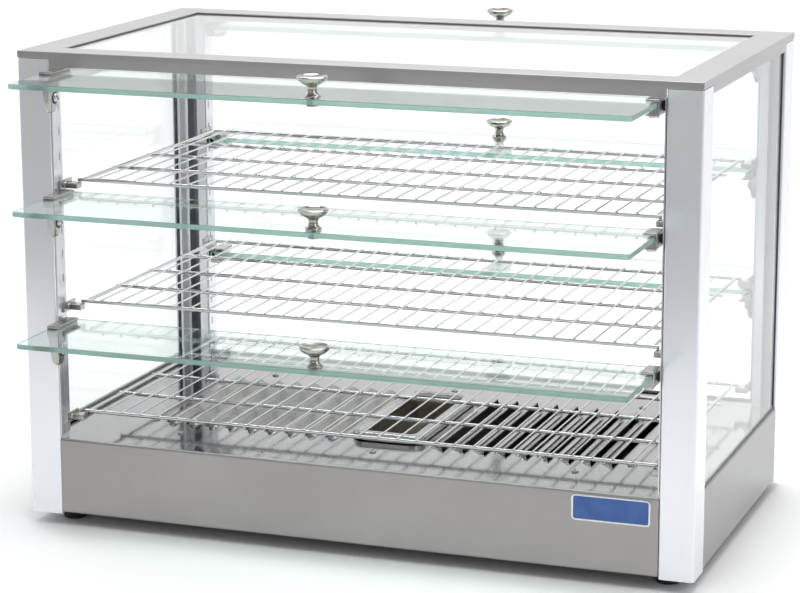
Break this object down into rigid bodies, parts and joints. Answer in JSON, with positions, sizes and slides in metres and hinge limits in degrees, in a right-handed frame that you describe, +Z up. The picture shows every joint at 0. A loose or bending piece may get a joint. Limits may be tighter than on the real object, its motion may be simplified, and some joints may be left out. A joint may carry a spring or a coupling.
{
  "type": "hot food display case",
  "caption": "Countertop heated food display: glass sided case on four posts with flap doors front and back, wire shelves and a louvred deck over a water pan.",
  "frame": {"origin": "on the floor, under the middle of the case", "axes": "+X along the case to the right as seen from the front, +Y towards the back, +Z up"},
  "size_m": [0.7, 0.5954, 0.4916],
  "materials": {
    "foot_rubber": "matt black moulded rubber",
    "post_aluminium": "polished silver anodised extrusion",
    "base_steel": "finely brushed stainless sheet",
    "deck_steel": "bright stainless sheet with pressed louvres",
    "top_frame_steel": "satin silver",
    "pane_glass": "clear float glass",
    "door_glass": "clear toughened glass with green ground edges",
    "rail_steel": "bright slotted strip",
    "shelf_chrome": "chrome plated wire",
    "knob_nickel": "polished nickel",
    "clamp_nickel": "nickel plated die casting",
    "pan_steel": "drawn stainless steel",
    "heater_sheath": "dark oxidised sheath",
    "control_plastic": "black moulded plastic",
    "rocker_plastic": "red gloss plastic",
    "lamp_lens": "translucent amber lens",
    "badge_plastic": "plain blue badge with no lettering"
  },
  "bodies": {
    "case": {"foot_front_left": "foot_rubber", "foot_front_right": "foot_rubber", "foot_rear_left": "foot_rubber", "foot_rear_right": "foot_rubber", "post_front_left": "post_aluminium", "post_front_right": "post_aluminium", "post_rear_left": "post_aluminium", "post_rear_right": "post_aluminium", "front_base_panel": "base_steel", "rear_base_panel": "base_steel", "left_base_panel": "base_steel", "right_base_panel": "base_steel", "bottom_plate": "base_steel", "deck_plate": "deck_steel", "top_frame": "top_frame_steel", "top_glass": "pane_glass", "left_side_glass": "pane_glass", "right_side_glass": "pane_glass", "shelf_rail_front_left": "rail_steel", "shelf_rail_front_right": "rail_steel", "shelf_rail_rear_left": "rail_steel", "shelf_rail_rear_right": "rail_steel", "heating_element_left": "heater_sheath", "heating_element_right": "heater_sheath", "thermostat_body": "control_plastic", "power_switch_housing": "control_plastic", "indicator_lamp": "lamp_lens", "cable_gland": "control_plastic", "plain_badge": "badge_plastic"},
    "front_door_upper": {"front_door_upper_glass": "door_glass", "front_door_upper_knob": "knob_nickel", "front_door_upper_stay_clamp": "clamp_nickel", "front_door_upper_plain_clamp": "clamp_nickel"},
    "front_door_middle": {"front_door_middle_glass": "door_glass", "front_door_middle_knob": "knob_nickel", "front_door_middle_stay_clamp": "clamp_nickel", "front_door_middle_plain_clamp": "clamp_nickel"},
    "front_door_lower": {"front_door_lower_glass": "door_glass", "front_door_lower_knob": "knob_nickel", "front_door_lower_stay_clamp": "clamp_nickel", "front_door_lower_plain_clamp": "clamp_nickel"},
    "rear_door_upper": {"rear_door_upper_glass": "door_glass", "rear_door_upper_knob": "knob_nickel", "rear_door_upper_stay_clamp": "clamp_nickel", "rear_door_upper_plain_clamp": "clamp_nickel"},
    "rear_door_middle": {"rear_door_middle_glass": "door_glass", "rear_door_middle_knob": "knob_nickel", "rear_door_middle_stay_clamp": "clamp_nickel", "rear_door_middle_plain_clamp": "clamp_nickel"},
    "rear_door_lower": {"rear_door_lower_glass": "door_glass", "rear_door_lower_knob": "knob_nickel", "rear_door_lower_stay_clamp": "clamp_nickel", "rear_door_lower_plain_clamp": "clamp_nickel"},
    "wire_shelf_upper": {"shelf_upper": "shelf_chrome"},
    "wire_shelf_middle": {"shelf_middle": "shelf_chrome"},
    "wire_shelf_lower": {"shelf_lower": "shelf_chrome"},
    "pan": {"water_pan": "pan_steel"},
    "dial": {"thermostat_knob": "control_plastic"},
    "rocker": {"power_switch_rocker": "rocker_plastic"}
  },
  "joints": [
    {"name": "front_door_upper_hinge", "type": "hinge", "parent": "case", "child": "front_door_upper", "pos_m": [0, -0.1897, 0.4658], "axis": [1, 0, 0], "range_deg": [0, 90]},
    {"name": "front_door_middle_hinge", "type": "hinge", "parent": "case", "child": "front_door_middle", "pos_m": [0, -0.1897, 0.3412], "axis": [1, 0, 0], "range_deg": [0, 90]},
    {"name": "front_door_lower_hinge", "type": "hinge", "parent": "case", "child": "front_door_lower", "pos_m": [0, -0.1897, 0.2094], "axis": [1, 0, 0], "range_deg": [0, 90]},
    {"name": "rear_door_upper_hinge", "type": "hinge", "parent": "case", "child": "rear_door_upper", "pos_m": [0, 0.1897, 0.4658], "axis": [-1, 0, 0], "range_deg": [0, 90]},
    {"name": "rear_door_middle_hinge", "type": "hinge", "parent": "case", "child": "rear_door_middle", "pos_m": [0, 0.1897, 0.3412], "axis": [-1, 0, 0], "range_deg": [0, 90]},
    {"name": "rear_door_lower_hinge", "type": "hinge", "parent": "case", "child": "rear_door_lower", "pos_m": [0, 0.1897, 0.2094], "axis": [-1, 0, 0], "range_deg": [0, 90]},
    {"name": "shelf_upper_lift", "type": "slide", "parent": "case", "child": "wire_shelf_upper", "axis": [0, 0, 1], "range_m": [0, 0.02]},
    {"name": "shelf_middle_lift", "type": "slide", "parent": "case", "child": "wire_shelf_middle", "axis": [0, 0, 1], "range_m": [0, 0.02]},
    {"name": "shelf_lower_lift", "type": "slide", "parent": "case", "child": "wire_shelf_lower", "axis": [0, 0, 1], "range_m": [0, 0.02]},
    {"name": "water_pan_lift", "type": "slide", "parent": "case", "child": "pan", "axis": [0, 0, 1], "range_m": [0, 0.01]},
    {"name": "thermostat_turn", "type": "hinge", "parent": "case", "child": "dial", "pos_m": [0.21, 0.1972, 0.053], "axis": [0, 1, 0], "range_deg": [0, 270]},
    {"name": "power_switch_rock", "type": "hinge", "parent": "case", "child": "rocker", "pos_m": [0.11, 0.1972, 0.053], "axis": [-1, 0, 0], "range_deg": [0, 16]}
  ]
}
